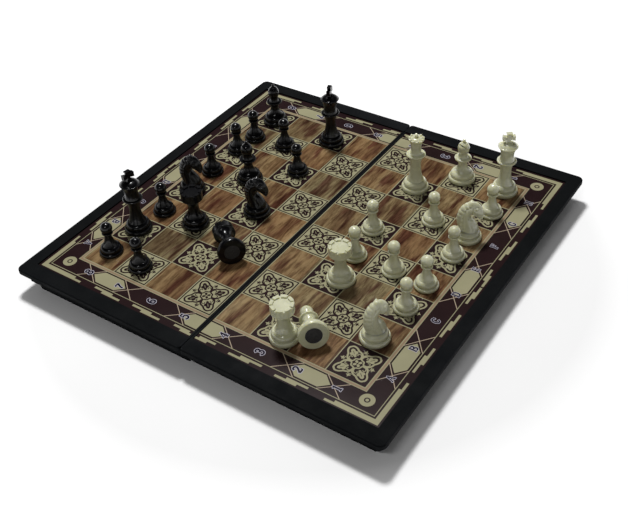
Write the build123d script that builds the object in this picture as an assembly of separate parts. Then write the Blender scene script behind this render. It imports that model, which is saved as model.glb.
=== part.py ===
from build123d import *
import os
from math import asin, atan2, cos, degrees, hypot, sin, tan

os.makedirs("parts", exist_ok=True)

# A folding board of two shallow trays, opened flat, with its 32 chessmen on it.
# The playing side is up, the hollows are underneath. X runs across the fold, Y along it.
# All sizes are in millimetres.

# Playing sheet
SQUARE = 30.8  # side of one square
SQUARES = 8  # along each side, an even number
BORDER = 24.1  # printed border outside the squares
SHEET = 0.3  # thickness of the printed tinplate
SHEET_GAP = 0.1  # between the sheet and the rim round it

# Trays
SLIT = 0.3  # open slit between the halves
SEAM_EDGE = 1.9  # plastic edge beside the slit
END_BAND = 10.65  # plastic rim outside the sheet at the two ends
SIDE_BAND = 12.7  # plastic rim outside the sheet along the two sides
LIP = 1.2  # how far the rim stands above the sheet
SEAM_LIP = 0.5  # and the edge along the fold
LIP_EDGE = 3.7  # height of the rim's outer edge
LIP_RADIUS = 5.0  # corner of the rim, seen from above
LIP_ROUND = 1.0  # rounding of the rim's outer edges
FOLD_RADIUS = 3.0  # corner of each half at the fold, seen from above
TRAY_TOP = 1.8  # plastic under the sheet
TRAY_HEIGHT = 21.7  # from the table to the top of the rim
WALL = 2.4  # side wall, at its foot
STEP_RADIUS = 3.0  # corner of the stepped wall, seen from above
UPPER_STEP = 3.6  # upper ridge's setback from the rim's edge
UPPER_HEIGHT = 4.3  # height of the upper ridge
GROOVE_STEP = 6.6  # setback of the groove under it
GROOVE_HEIGHT = 1.4
LOWER_STEP = 5.2  # setback of the lower ridge
LOWER_HEIGHT = 3.6
FOOT_STEP = 9.2  # setback of the plain foot of the wall
SEAM_WALL = 1.9  # wall along the fold, inside the slit

# Closing rims and hinges
RIM_OVERLAP = 2.2  # the halves' rims pass each other this far on each side of the pin's height
RIM_GAP = 0.3  # clearance between the rims when the case is shut
PIN_RADIUS = 0.8
PIN_PLAY = 0.05  # radial play of the pins in the right half
KNUCKLE_RADIUS = 1.9
KNUCKLE_LENGTH = 12.0
KNUCKLE_GAP = 0.35  # beside each knuckle and round it
HINGE_FROM_END = 46.0  # middle of each hinge from the board's near or far edge

# Feet of the chessmen
OFFICER_RADIUS = 11.0
OFFICER_FLANGE = 4.2
OFFICER_BEAD = 9.3  # radius at the foot of the second bead
OFFICER_BEAD_TOP = 7.4
OFFICER_BEAD_HEIGHT = 4.4
PAWN_RADIUS = 9.25
PAWN_FLANGE = 3.2
PAWN_BEAD = 7.9
PAWN_BEAD_TOP = 6.0
PAWN_BEAD_HEIGHT = 4.0
FOOT_SWELL = 0.8  # how far a bead stands out from its chord
FOOT_GROOVE = 0.3
OFFICER_MAGNET = 6.0  # radius
PAWN_MAGNET = 5.0
MAGNET = 1.8  # thickness
MAGNET_RECESS = 0.2

# King
KING_STEM = 20.4  # from the foot to the collar
KING_STEM_RADIUS = 4.3
KING_COLLAR = 7.7
KING_NECK = 5.2
KING_NECK_HEIGHT = 5.4
KING_CUP = 7.8
KING_CUP_HEIGHT = 7.6
KING_CUP_RIM = 0.8  # height of the cup's rim
KING_CUP_ROUND = 0.5  # how far it swells
KING_DOME = 2.3  # radius of the dome's flat top
KING_DOME_HEIGHT = 3.0
KING_DOME_ROUND = 0.7
KING_CROSS_SEAT = 0.4  # height of the little seat under the cross
KING_CROSS_HEIGHT = 8.4
KING_CROSS_WIDTH = 9.6
KING_CROSS_DEPTH = 3.2
KING_CROSS_WAIST = 2.4
KING_CROSS_TIP = 4.8  # width of an arm at its end

# Queen
QUEEN_STEM = 23.2
QUEEN_STEM_RADIUS = 4.2
QUEEN_COLLAR = 7.7
QUEEN_NECK = 4.1
QUEEN_NECK_HEIGHT = 3.2
QUEEN_CUP = 6.2
QUEEN_CUP_HEIGHT = 10.4
QUEEN_CUP_HOLLOW = 0.7
QUEEN_CORONET = 1.6  # width of the coronet's edge
QUEEN_DOME = 1.0  # radius of the dome's top
QUEEN_DOME_HEIGHT = 1.1
QUEEN_DOME_ROUND = 0.5
QUEEN_BALL = 1.6
QUEEN_POINTS = 9
QUEEN_POINT_RADIUS = 1.15
QUEEN_POINT_INSET = 0.8  # of a point's middle from the coronet's edge

# Bishop
BISHOP_STEM = 11.4
BISHOP_STEM_RADIUS = 3.6
BISHOP_COLLAR = 6.85
BISHOP_NECK = 3.6
BISHOP_NECK_HEIGHT = 4.0
BISHOP_HEAD = 4.8
BISHOP_BELLY = 4.4  # height of the head below its widest line
BISHOP_MITRE = 5.6  # and above it
BISHOP_TIP = 1.0  # radius of the mitre under its ball
BISHOP_BALL = 1.4
BISHOP_SLIT = 1.0
BISHOP_SLIT_DEPTH = 3.4
BISHOP_SLIT_RISE = 1.2  # of its deepest line above the widest line of the head
BISHOP_SLIT_TILT = 52  # degrees

# Rook
ROOK_STEM = 12.6
ROOK_STEM_RADIUS = 4.3
ROOK_STEM_WAIST = 7.6  # height of the narrowest line above the foot
ROOK_FLARE = 0.6  # how much the stem widens above it
ROOK_FLARE_HEIGHT = 3.6
ROOK_HEAD = 8.4
ROOK_HEAD_HEIGHT = 7.4
ROOK_HEAD_EDGE = 0.8  # height of the rounding under the head
ROOK_HEAD_ROUND = 0.4
ROOK_COVE = 0.6  # hollow of its stem
ROOK_WELL = 6.0  # radius of the hollow in the head
ROOK_WELL_DEPTH = 1.1
ROOK_SLOTS = 8
ROOK_SLOT = 1.2
ROOK_SLOT_DEPTH = 1.1

# Pawn
PAWN_STEM = 10.7
PAWN_STEM_RADIUS = 2.7
PAWN_STEM_HOLLOW = 0.8
PAWN_COLLAR = 4.3
PAWN_COLLAR_RING = 1.5  # its thickness
PAWN_COLLAR_UNDER = 0.4  # height of the slope under it
PAWN_BALL = 4.6

# Knight, seen from the side: how far forward and how high above the foot
KNIGHT_SUNK = 0.8  # how deep the neck stands in the foot
KNIGHT_FRONT = 7.0
KNIGHT_REAR = 6.6
KNIGHT_BREAST = (6.2, 4.6)
KNIGHT_THROAT = (4.4, 9.9)
KNIGHT_JAW = (7.8, 9.6)
KNIGHT_CHIN = (10.2, 12.2)
KNIGHT_NOSE = (10.6, 15.8)
KNIGHT_FACE = (8.4, 20.8)
KNIGHT_BROW = (3.4, 24.3)
KNIGHT_EAR = (1.4, 25.1)
KNIGHT_NAPE = (-4.6, 21.6)
KNIGHT_MANE = (-7.8, 14.6)
KNIGHT_BACK = (-7.7, 7.4)
# and from the front: half widths and heights above the foot
KNIGHT_SHOULDER = (5.4, 6.5)
KNIGHT_CHEEK = (4.2, 15.5)
KNIGHT_TEMPLE = (3.9, 19.5)
KNIGHT_CROWN = (2.5, 25.3)

# Turned profiles of several men
COLLAR = 1.8  # thickness of the collars
COLLAR_UNDER = 1.4  # height of the cove under a collar
COVE = 0.3  # hollow of a small cove
STEM_WAIST = 0.55  # height of a stem's narrowest line, as a share of the stem
STEM_HOLLOW = 0.2  # its hollow below that, as a share of how much it narrows
STEM_FLARE = 1.0  # how much it widens again above
NECK_FLARE = 0.8  # how much a neck widens down to its collar
STAND_GAP = 0.1  # under a chessman that lies on its side

# Where the chessmen stand: column from the left, row from the front, offset from the
# middle of the square, and which way the front of the piece looks, in degrees.
WHITE = {
    "king": [(7, 7, 1.5, 4.0, 306)],
    "queen": [(5, 6, -0.4, 3.9, 0)],
    "bishop": [(6, 7, -4.3, 2.8, 250)],
    "knight": [(7, 5, 2.6, -1.0, 30), (7, 1, -2.0, -5.1, 62)],
    "rook": [(5, 2, 8.2, 2.2, 20), (5, 0, 7.0, -5.4, 0)],
    "pawn": [
        (7, 6, 5.4, 3.7, 0),
        (6, 5, 2.4, 3.3, 0),
        (7, 4, 3.6, 4.9, 0),
        (5, 4, -1.8, 1.8, 0),
        (5, 3, 3.0, -1.0, 0),
        (6, 3, 5.3, -1.1, 0),
        (7, 3, 2.3, -2.9, 0),
        (7, 2, 1.4, 0.2, 0),
    ],
}
BLACK = {
    "king": [(2, 7, 1.2, -5.1, 20), (0, 1, -2.2, 2.2, 350)],
    "bishop": [(0, 7, 0.9, -1.8, 300), (1, 4, 3.5, 6.8, 240)],
    "knight": [(2, 3, 4.4, 4.6, 20), (0, 3, 1.6, 2.4, 25)],
    "rook": [(1, 2, 2.2, -0.8, 10)],
    "pawn": [
        (0, 6, 1.0, -2.5, 0),
        (1, 6, 1.0, -0.1, 0),
        (0, 5, -0.3, 5.3, 0),
        (2, 5, 1.4, 4.7, 0),
        (0, 4, 0.1, 0.1, 0),
        (0, 2, 0.9, -1.2, 0),
        (1, 0, -0.7, -1.1, 0),
        (0, 0, -1.4, 1.1, 0),
    ],
}
# The two that lie: the middle of the foot, and the way the head points.
LYING_BISHOP = (6, 0, -1.2, -2.8, 134)
LYING_ROOK = (3, 1, -4.4, 6.9, 141)

# Worked out from the sizes above
SEAM = SLIT / 2 + SEAM_EDGE
FIELD = SQUARE * SQUARES / 2
HALF_X = SEAM + FIELD + BORDER + END_BAND
HALF_Y = FIELD + BORDER + SIDE_BAND
PRINT_Z = TRAY_HEIGHT - LIP
CEILING = PRINT_Z - SHEET - TRAY_TOP
PIN_Z = RIM_OVERLAP
RIM_THICKNESS = (WALL - RIM_GAP) / 2


def half_outline(inset, radius):
    """The right half seen from above, set back from the rim's edge on three sides."""
    near = SLIT / 2
    far = HALF_X - inset
    sheet = Pos((near + far) / 2, 0) * Rectangle(far - near, 2 * (HALF_Y - inset))
    sheet = fillet(sheet.vertices().group_by(Axis.X)[-1], radius)
    return fillet(sheet.vertices().group_by(Axis.X)[0], FOLD_RADIUS)


def slab(inset, radius, low, high):
    """A layer of the right half, between two heights."""
    return Pos(0, 0, low) * extrude(half_outline(inset, radius), high - low)


def stepped_body():
    """The solid outer form of the right half: rim, two ridges, groove and foot."""
    rim_low = TRAY_HEIGHT - LIP_EDGE
    upper_low = rim_low - UPPER_HEIGHT
    groove_low = upper_low - GROOVE_HEIGHT
    lower_low = groove_low - LOWER_HEIGHT
    rim = slab(0, LIP_RADIUS, rim_low, TRAY_HEIGHT)
    body = fillet(rim.faces().sort_by(Axis.Z)[-1].edges(), LIP_ROUND)
    for inset, low, high in (
        (UPPER_STEP, upper_low, rim_low),
        (GROOVE_STEP, groove_low, upper_low),
        (LOWER_STEP, lower_low, groove_low),
        (FOOT_STEP, 0, lower_low),
    ):
        body += slab(inset, STEP_RADIUS, low, high)
    return body


def hollow():
    """The room inside the right half's walls."""
    far = HALF_X - FOOT_STEP - WALL
    return block((SLIT / 2 + SEAM_WALL, 0), (far, CEILING, HALF_Y - FOOT_STEP - WALL))


def block(low, high):
    """A box from low (x, z) to high (x, z), which reaches the third number of high both ways along Y."""
    (x0, z0), (x1, z1, half) = low, high
    return Pos((x0 + x1) / 2, 0, (z0 + z1) / 2) * Box(x1 - x0, 2 * half, z1 - z0)


def sheet_recess():
    """The step in the top that the printed sheet lies in, with the low edge along the fold."""
    half = HALF_Y - SIDE_BAND + SHEET_GAP
    far = HALF_X - END_BAND + SHEET_GAP
    bed = block((SEAM - SHEET_GAP, PRINT_Z - SHEET), (far, TRAY_HEIGHT, half))
    return bed + block((0, PRINT_Z + SEAM_LIP), (SEAM, TRAY_HEIGHT, half))


def hinge_stations():
    """The knuckles' middles along the fold: the left half's, then the right half's."""
    pitch = KNUCKLE_LENGTH + KNUCKLE_GAP
    middles = [-HALF_Y + HINGE_FROM_END, HALF_Y - HINGE_FROM_END]
    return [m + s * pitch for m in middles for s in (-1, 1)], middles


def along_fold(radius, length, y):
    """A cylinder on the fold's axis."""
    return Pos(0, y, PIN_Z) * Rot(90, 0, 0) * Cylinder(radius, length)


def knuckle(y):
    """One knuckle of the right half, with the web that joins it to the fold's wall."""
    near = SLIT / 2
    top = PIN_Z + KNUCKLE_RADIUS + 2 * KNUCKLE_GAP
    web = block((near, PIN_Z), (KNUCKLE_RADIUS, top, KNUCKLE_LENGTH / 2))
    return along_fold(KNUCKLE_RADIUS, KNUCKLE_LENGTH, y) + Pos(0, y, 0) * web


def notch(y):
    """Room in the fold's wall for the other half's knuckle."""
    reach = KNUCKLE_RADIUS + KNUCKLE_GAP
    half = KNUCKLE_LENGTH / 2 + KNUCKLE_GAP
    return Pos(0, y, 0) * block((0, 0), (reach, PIN_Z + reach, half))


def rim_cut(inner_rim):
    """What one closing rim leaves free, so that the two rims pass each other."""
    high = PIN_Z + RIM_OVERLAP + RIM_GAP
    split = FOOT_STEP + RIM_THICKNESS
    if inner_rim:
        split += RIM_GAP
        return block((-SLIT, 0), (HALF_X, high, HALF_Y)) - rim_core(split, high)
    fold_wall = block((0, 0), (SLIT / 2 + SEAM_WALL, high, HALF_Y - FOOT_STEP - WALL - RIM_GAP))
    return rim_core(split, high) - fold_wall


def rim_core(split, high):
    """All that lies inside the parting line of the rims, open towards the fold."""
    far = HALF_X - split
    sheet = Pos((far - SLIT) / 2, 0) * Rectangle(far + SLIT, 2 * (HALF_Y - split))
    outer = sheet.vertices().group_by(Axis.X)[-1]
    return extrude(fillet(outer, STEP_RADIUS - (split - FOOT_STEP)), high)


def tray(inner_rim, own, other, bore):
    """One half, built on the right, with its own knuckles and room for the other's."""
    body = stepped_body() - hollow() - sheet_recess() - rim_cut(inner_rim)
    clear = PIN_Z + RIM_GAP / 2
    body -= block((0, 0), (SLIT / 2 + SEAM_WALL, clear, HALF_Y - FOOT_STEP - WALL))
    for y in other:
        body -= notch(y)
    for y in own:
        body += knuckle(y)
        body -= along_fold(bore, KNUCKLE_LENGTH, y)
    return body


def playing_sheet():
    """One half's printed sheet, on the right."""
    return block((SEAM, PRINT_Z - SHEET), (HALF_X - END_BAND, PRINT_Z, HALF_Y - SIDE_BAND))


def turned(steps):
    """A turned form. Each step is a radius, a height and how far its arc swells outward."""
    radius, height = steps[0][:2]
    edges = [Line((0, height), (radius, height))]
    for (r0, z0, _), (r1, z1, swell) in zip(steps, steps[1:]):
        ends = ((r0, z0), (r1, z1))
        edges.append(SagittaArc(*ends, -swell) if swell else Line(*ends))
    radius, top = steps[-1][:2]
    if radius:
        edges.append(Line((radius, top), (0, top)))
    edges.append(Line((0, top), (0, height)))
    face = make_face(Curve() + edges)
    return revolve(Plane.XZ * face, Axis.Z, 360)


def foot(radius, flange, bead, bead_top, bead_height):
    """The steps of a foot: a bulged flange, a groove and a second bead."""
    edge = radius - FOOT_SWELL
    low = flange + FOOT_GROOVE
    return [
        (edge, 0, 0),
        (edge, flange, FOOT_SWELL),
        (bead, flange, 0),
        (bead, low, 0),
        (bead_top, low + bead_height, FOOT_SWELL),
    ]


def officer_foot():
    return foot(
        OFFICER_RADIUS, OFFICER_FLANGE, OFFICER_BEAD, OFFICER_BEAD_TOP, OFFICER_BEAD_HEIGHT
    )


def stem(steps, height, radius, collar):
    """A waisted stem on the foot, up to and round a collar."""
    top_r, base = steps[-1][:2]
    start = top_r - 2 * FOOT_GROOVE
    under = base + height
    return steps + [
        (start, base, 0),
        (radius, base + height * STEM_WAIST, -(start - radius) * STEM_HOLLOW),
        (radius + STEM_FLARE, under - COLLAR_UNDER, -COVE),
        (collar - COLLAR / 2, under, -COVE),
        (collar - COLLAR / 2, under + COLLAR, COLLAR / 2),
    ]


def swell(step, rise):
    """Swell of an arc that is upright at its wide end and comes in by a step over a rise."""
    return hypot(step, rise) / 2 * tan(atan2(step, rise) / 2)


def ball(start, radius):
    """The steps of a ball on top of the last step, as a lower and an upper arc."""
    neck, low = start[:2]
    rise = (radius**2 - neck**2) ** 0.5
    middle = low + rise
    return [
        (radius, middle, swell(radius - neck, rise)),
        (0, middle + radius, swell(radius, radius)),
    ]


def officer(steps, magnet_radius):
    """The turned body with the pocket for its magnet."""
    depth = MAGNET + MAGNET_RECESS
    pocket = Cylinder(magnet_radius, depth, align=(Align.CENTER, Align.CENTER, Align.MIN))
    return turned(steps) - pocket


def magnet(radius):
    """The magnet in a chessman's foot."""
    disc = Cylinder(radius, MAGNET, align=(Align.CENTER, Align.CENTER, Align.MIN))
    return Pos(0, 0, MAGNET_RECESS) * disc


def king():
    steps = stem(officer_foot(), KING_STEM, KING_STEM_RADIUS, KING_COLLAR)
    z = steps[-1][1]
    neck = z + KING_NECK_HEIGHT
    cup = neck + KING_CUP_HEIGHT
    dome = cup + KING_DOME_HEIGHT
    half = KING_CROSS_WIDTH / 2
    waist = KING_CROSS_WAIST / 2
    rim = KING_CUP - KING_CUP_ROUND
    steps += [
        (KING_NECK + NECK_FLARE, z, 0),
        (KING_NECK, neck, -COVE),
        (rim, cup - KING_CUP_RIM, -KING_CUP_ROUND),
        (rim, cup, KING_CUP_ROUND),
        (KING_DOME, dome, KING_DOME_ROUND),
        (KING_DOME, dome + KING_CROSS_SEAT, 0),
        (0, dome + KING_CROSS_SEAT, 0),
    ]
    middle = dome + KING_CROSS_HEIGHT / 2
    quarter = [(waist, waist), (KING_CROSS_TIP / 2, half)]
    cross = Polygon(
        *[
            (sx * x, sy * y)
            for sx, sy, flip in ((1, 1, 0), (-1, 1, 1), (-1, -1, 0), (1, -1, 1))
            for x, y in arm(quarter, flip)
        ],
        align=None,
    )
    stretch = KING_CROSS_HEIGHT / KING_CROSS_WIDTH
    flat = Pos(0, 0, -KING_CROSS_DEPTH / 2) * extrude(cross, KING_CROSS_DEPTH)
    upright = scale(Rot(0, 0, 90) * Rot(90, 0, 0) * flat, (1, 1, stretch))
    return officer(steps, OFFICER_MAGNET) + Pos(0, 0, middle) * upright


def arm(quarter, flip):
    """The corners of two arms of the cross in one quarter, in turning order."""
    (wx, wy), (tx, ty) = quarter
    corners = [(ty, tx), (wx, wy), (tx, ty)]
    return corners[::-1] if flip else corners


def queen():
    steps = stem(officer_foot(), QUEEN_STEM, QUEEN_STEM_RADIUS, QUEEN_COLLAR)
    z = steps[-1][1]
    neck = z + QUEEN_NECK_HEIGHT
    cup = neck + QUEEN_CUP_HEIGHT
    dome = cup + QUEEN_DOME_HEIGHT
    steps += [
        (QUEEN_NECK + NECK_FLARE, z, 0),
        (QUEEN_NECK, neck, -COVE),
        (QUEEN_CUP, cup, -QUEEN_CUP_HOLLOW),
        (QUEEN_CUP - QUEEN_CORONET, cup, 0),
        (QUEEN_DOME, dome, QUEEN_DOME_ROUND),
    ]
    steps += ball(steps[-1], QUEEN_BALL)
    body = officer(steps, OFFICER_MAGNET)
    for point in PolarLocations(QUEEN_CUP - QUEEN_POINT_INSET, QUEEN_POINTS):
        body += Pos(0, 0, cup) * point * Sphere(QUEEN_POINT_RADIUS)
    return body


def bishop():
    steps = stem(officer_foot(), BISHOP_STEM, BISHOP_STEM_RADIUS, BISHOP_COLLAR)
    z = steps[-1][1]
    neck = z + BISHOP_NECK_HEIGHT
    belly = neck + BISHOP_BELLY
    steps += [
        (BISHOP_NECK + NECK_FLARE, z, 0),
        (BISHOP_NECK, neck, -COVE),
        (BISHOP_HEAD, belly, swell(BISHOP_HEAD - BISHOP_NECK, BISHOP_BELLY)),
        (BISHOP_TIP, belly + BISHOP_MITRE, swell(BISHOP_HEAD - BISHOP_TIP, BISHOP_MITRE)),
    ]
    steps += ball(steps[-1], BISHOP_BALL)
    reach = 3 * BISHOP_HEAD
    cut = Box(reach, reach, BISHOP_SLIT)
    deep = Pos(BISHOP_HEAD - BISHOP_SLIT_DEPTH, 0, belly + BISHOP_SLIT_RISE)
    place = deep * Rot(0, -BISHOP_SLIT_TILT, 0) * Pos(reach / 2, 0, 0)
    return officer(steps, OFFICER_MAGNET) - place * cut


def rook():
    steps = officer_foot()
    top_r, base = steps[-1][:2]
    waist = base + ROOK_STEM
    flare = waist + ROOK_FLARE_HEIGHT
    top = flare + ROOK_HEAD_HEIGHT
    start = top_r - 2 * FOOT_GROOVE
    steps += [
        (start, base, 0),
        (ROOK_STEM_RADIUS, base + ROOK_STEM_WAIST, -ROOK_COVE),
        (ROOK_STEM_RADIUS + ROOK_FLARE, waist, -COVE),
        (ROOK_HEAD - ROOK_HEAD_ROUND, flare, -ROOK_COVE),
        (ROOK_HEAD, flare + ROOK_HEAD_EDGE, ROOK_HEAD_ROUND / 2),
        (ROOK_HEAD, top, 0),
        (ROOK_WELL, top, 0),
        (ROOK_WELL, top - ROOK_WELL_DEPTH, 0),
        (0, top - ROOK_WELL_DEPTH, 0),
    ]
    body = officer(steps, OFFICER_MAGNET)
    slot = Box(ROOK_HEAD, ROOK_SLOT, 2 * ROOK_SLOT_DEPTH)
    for place in PolarLocations(ROOK_HEAD, ROOK_SLOTS):
        body -= Pos(0, 0, top) * place * slot
    return body


def pawn():
    steps = foot(PAWN_RADIUS, PAWN_FLANGE, PAWN_BEAD, PAWN_BEAD_TOP, PAWN_BEAD_HEIGHT)
    top_r, base = steps[-1][:2]
    under = base + PAWN_STEM
    above = under + PAWN_COLLAR_RING
    edge = PAWN_COLLAR - PAWN_COLLAR_RING / 2
    steps += [
        (top_r - FOOT_GROOVE, base, 0),
        (PAWN_STEM_RADIUS, under - PAWN_COLLAR_UNDER, -PAWN_STEM_HOLLOW),
        (edge, under, 0),
        (edge, above, PAWN_COLLAR_RING / 2),
        (PAWN_STEM_RADIUS, above, 0),
    ]
    steps += ball(steps[-1], PAWN_BALL)
    return officer(steps, PAWN_MAGNET)


def knight():
    """The foot, and a horse's neck and head cut from the side and from the front."""
    steps = officer_foot()
    base = steps[-1][1]
    steps += [(0, base, 0)]

    def at(point):
        return (point[0], base + point[1])

    throat, jaw, chin, nose, brow, ear = map(
        at, (KNIGHT_THROAT, KNIGHT_JAW, KNIGHT_CHIN, KNIGHT_NOSE, KNIGHT_BROW, KNIGHT_EAR)
    )
    front = (KNIGHT_FRONT, base - KNIGHT_SUNK)
    rear = (-KNIGHT_REAR, base - KNIGHT_SUNK)
    side = make_face(
        Curve()
        + [
            Line(rear, front),
            Spline(front, at(KNIGHT_BREAST), throat, tangents=((0, 1), (0, 1))),
            Spline(throat, jaw, chin, tangents=((1, -0.5), (0.3, 1))),
            Line(chin, nose),
            Spline(nose, at(KNIGHT_FACE), brow, tangents=((0, 1), (-1, 0.4))),
            Line(brow, ear),
            Spline(
                ear, at(KNIGHT_NAPE), at(KNIGHT_MANE), at(KNIGHT_BACK), rear,
                tangents=((-1, 0), (0.25, -1)),
            ),
        ]
    )
    half = [KNIGHT_SHOULDER, KNIGHT_CHEEK, KNIGHT_TEMPLE, KNIGHT_CROWN]
    half = [(KNIGHT_SHOULDER[0], -2 * KNIGHT_SUNK)] + half
    outline = [at(point) for point in half]
    front_view = Polygon(*outline, *[(-x, z) for x, z in outline[::-1]], align=None)
    deep = 4 * KNIGHT_FRONT
    profile = Plane.XZ * Pos(0, 0, -deep / 2) * extrude(side, deep)
    width = Plane.YZ * Pos(0, 0, -deep / 2) * extrude(front_view, deep)
    return officer(steps, OFFICER_MAGNET) + (profile & width)


MAKERS = {"king": king, "queen": queen, "bishop": bishop, "knight": knight, "rook": rook, "pawn": pawn}
MAGNETS = {kind: OFFICER_MAGNET for kind in MAKERS} | {"pawn": PAWN_MAGNET}
ROYALS = ("king", "queen")


def on_square(column, row, dx, dy):
    """A place on the board, from a square and an offset from its middle."""
    x = (column + 0.5 - SQUARES / 2) * SQUARE
    side = 1 if column >= SQUARES / 2 else -1
    return x + side * SEAM + dx, (row + 0.5 - SQUARES / 2) * SQUARE + dy


def lying(place, low, head):
    """Where a chessman lies on its foot and its head: each a height, a radius and a rounding."""
    column, row, dx, dy, heading = place
    x, y = on_square(column, row, dx, dy)
    drop = low[1] - head[1]
    along = head[0] - low[0]
    tilt = atan2(drop, along) + asin((low[2] - head[2]) / hypot(drop, along))
    z = PRINT_Z + STAND_GAP + low[1] * cos(tilt) + low[0] * sin(tilt) + low[2]
    return Pos(x, y, z) * Rot(0, 0, heading) * Rot(0, 90 + degrees(tilt), 0)


def rounding(radius, step, rise):
    """The middle radius and the rounding of an arc that is upright at its wide end."""
    curve = hypot(step, rise) / (2 * sin(atan2(step, rise)))
    return radius - curve, curve


def save(name, shapes):
    """Writes one node, of one solid or of several."""
    shape = shapes[0] if len(shapes) == 1 else Compound(children=list(shapes))
    shape.label = name
    export_step(shape, f"parts/{name}.step")
    return shape


def build_board():
    """The two trays, their sheets and the hinge pins."""
    left_knuckles, right_knuckles = hinge_stations()
    right = tray(True, right_knuckles, left_knuckles, PIN_RADIUS + PIN_PLAY)
    left = mirror(tray(False, left_knuckles, right_knuckles, PIN_RADIUS), Plane.YZ)
    save("case_left", [left])
    save("case_right", [right])
    save("sheet_right", [playing_sheet()])
    save("sheet_left", [mirror(playing_sheet(), Plane.YZ)])
    pin = 3 * KNUCKLE_LENGTH + 2 * KNUCKLE_GAP
    for name, y in zip(("hinge_pin_front", "hinge_pin_back"), right_knuckles):
        save(name, [along_fold(PIN_RADIUS, pin, y)])


def build_men(colour, places):
    """One side's standing chessmen, each with its magnet."""
    for kind, spots in places.items():
        body = MAKERS[kind]()
        disc = magnet(MAGNETS[kind])
        for number, (column, row, dx, dy, heading) in enumerate(spots, 1):
            x, y = on_square(column, row, dx, dy)
            place = Pos(x, y, PRINT_Z) * Rot(0, 0, heading)
            single = kind in ROYALS and len(spots) == 1
            name = f"{colour}_{kind}" if single else f"{colour}_{kind}_{number}"
            save(name, [place * body, place * disc])


def build_lying():
    """The two that lie, with their magnets as nodes of their own."""
    flange = (OFFICER_FLANGE / 2, *rounding(OFFICER_RADIUS, FOOT_SWELL, OFFICER_FLANGE / 2))
    stem_top = officer_foot()[-1][1]
    belly = stem_top + BISHOP_STEM + COLLAR + BISHOP_NECK_HEIGHT + BISHOP_BELLY
    bishop_head = (belly, *rounding(BISHOP_HEAD, BISHOP_HEAD - BISHOP_TIP, BISHOP_MITRE))
    rook_head = (stem_top + ROOK_STEM + ROOK_FLARE_HEIGHT + ROOK_HEAD_HEIGHT, ROOK_HEAD, 0)
    disc = magnet(OFFICER_MAGNET)
    for name, spot, head, body in (
        ("white_bishop_2", LYING_BISHOP, bishop_head, bishop()),
        ("black_rook_2", LYING_ROOK, rook_head, rook()),
    ):
        place = lying(spot, flange, head)
        save(name, [place * body])
        save(f"{name}_magnet", [place * disc])


build_board()
build_men("white", WHITE)
build_men("black", BLACK)
build_lying()
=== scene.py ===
import math

import bmesh
import bpy
from mathutils import Matrix, Vector
from mathutils.geometry import delaunay_2d_cdt

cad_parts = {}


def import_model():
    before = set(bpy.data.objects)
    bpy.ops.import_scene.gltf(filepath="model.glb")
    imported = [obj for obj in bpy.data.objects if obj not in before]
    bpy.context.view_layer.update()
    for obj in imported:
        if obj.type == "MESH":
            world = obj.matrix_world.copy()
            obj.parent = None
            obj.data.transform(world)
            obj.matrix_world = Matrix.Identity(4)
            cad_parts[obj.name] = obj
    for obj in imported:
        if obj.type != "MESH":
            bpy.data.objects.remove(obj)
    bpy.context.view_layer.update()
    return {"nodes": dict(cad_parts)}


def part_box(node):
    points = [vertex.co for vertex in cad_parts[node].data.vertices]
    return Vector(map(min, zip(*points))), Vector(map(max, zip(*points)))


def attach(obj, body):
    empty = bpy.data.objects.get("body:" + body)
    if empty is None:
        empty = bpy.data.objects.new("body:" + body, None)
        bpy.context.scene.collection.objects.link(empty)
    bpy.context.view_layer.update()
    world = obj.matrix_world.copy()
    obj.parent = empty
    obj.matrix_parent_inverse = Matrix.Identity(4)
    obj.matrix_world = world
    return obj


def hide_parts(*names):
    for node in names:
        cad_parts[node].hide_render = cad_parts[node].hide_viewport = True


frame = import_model()
MM = 0.001  # a millimetre, in metres

# The camera, where the photograph was taken from
CAMERA_PLACE = (0.3370, -0.4608, 0.4723)
CAMERA_TURN = (49.38, 2.68, 33.78)  # degrees
CAMERA_LENS = 53.4  # millimetres
SENSOR = 36

# The print, in millimetres. "Out" is the distance from the outer edge of the squares.
BORDER = 24.1  # the squares' outer edge to the sheet's edge
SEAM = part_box("sheet_right")[0].x / MM
EDGE_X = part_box("sheet_right")[1].x / MM
EDGE_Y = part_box("sheet_right")[1].y / MM
PRINT_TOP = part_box("sheet_right")[1].z / MM
PRINT_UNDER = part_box("sheet_right")[0].z / MM
FIELD = EDGE_Y - BORDER
SQUARE = FIELD / 4
GRID_LINE = 0.7  # the line between two squares
BAND = 1.9  # the tan band round the squares
LINE = 0.55  # each line of the border
ZONE = (2.3, 16.6)  # the dark border zone, from and to
BAR_START = 18.55  # the stepped bars, in two rows from here out
BAR = 1.85  # the width of a row
LABEL_OUT = 9.5  # the middles of the figures and letters
DIGIT_SIZE = 6.4
LETTER_SIZE = 5.3
ROUNDEL_OUT = (6.3, 8.0)  # the middle of a corner roundel, beyond the squares' corner
ROUNDEL = (5.3, 2.1, 1.2)  # radii of its disc, ring and dot


def colour(red, green, blue):
    """A colour as it shows on a screen, from 0 to 255, as a shader wants it."""
    parts = []
    for part in (red, green, blue):
        part /= 255
        parts.append(part / 12.92 if part <= 0.04045 else ((part + 0.055) / 1.055) ** 2.4)
    return (*parts, 1.0)


# Materials

def shader(name, **values):
    """A new material and its shader, with plain values on the shader's own inputs."""
    made = bpy.data.materials.new(name)
    made.use_nodes = True
    shade = made.node_tree.nodes["Principled BSDF"]
    for key, value in values.items():
        shade.inputs[key.replace("_", " ")].default_value = value
    return made, shade


def add(made, kind, inputs=None, **settings):
    """A new node. Each input is a plain value or another node's output."""
    node = made.node_tree.nodes.new("ShaderNode" + kind)
    for key, value in settings.items():
        setattr(node, key, value)
    for key, value in (inputs or {}).items():
        if isinstance(value, bpy.types.NodeSocket):
            made.node_tree.links.new(value, node.inputs[key])
        else:
            node.inputs[key].default_value = value
    return node


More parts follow.
